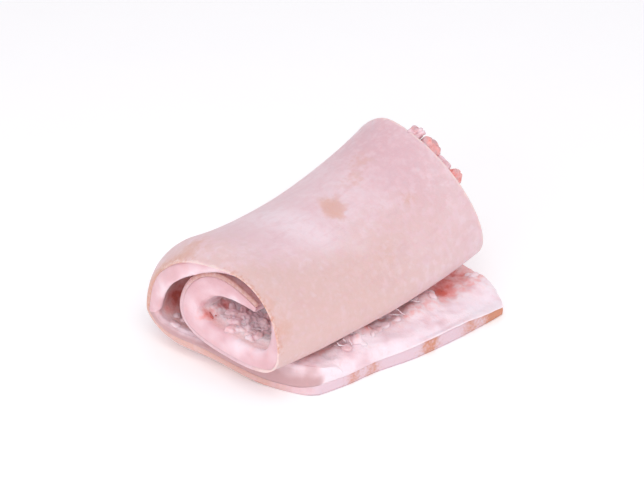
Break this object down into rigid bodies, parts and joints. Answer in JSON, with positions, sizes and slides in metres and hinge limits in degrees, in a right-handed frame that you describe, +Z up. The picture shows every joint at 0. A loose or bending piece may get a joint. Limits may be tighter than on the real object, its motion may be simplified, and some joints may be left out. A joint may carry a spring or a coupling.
{
  "type": "rolled raw pork skin",
  "caption": "slab of raw pork skin with its back fat, rolled into a loose flat spiral that lies on its free end, pale rind outside and lumpy fat inside",
  "frame": {"origin": "centre of the bounding box's underside, on the surface it lies on", "axes": "+Z up, +Y along the roll from its near cut end to its far cut end, +X towards the slab's free edge"},
  "size_m": [0.125, 0.1594, 0.0764],
  "materials": {
    "raw_pork_skin": "moist pale pink rind with pinkish white fat on its inner side"
  },
  "bodies": {
    "root": {"pork_skin_roll": "raw_pork_skin"}
  },
  "joints": []
}
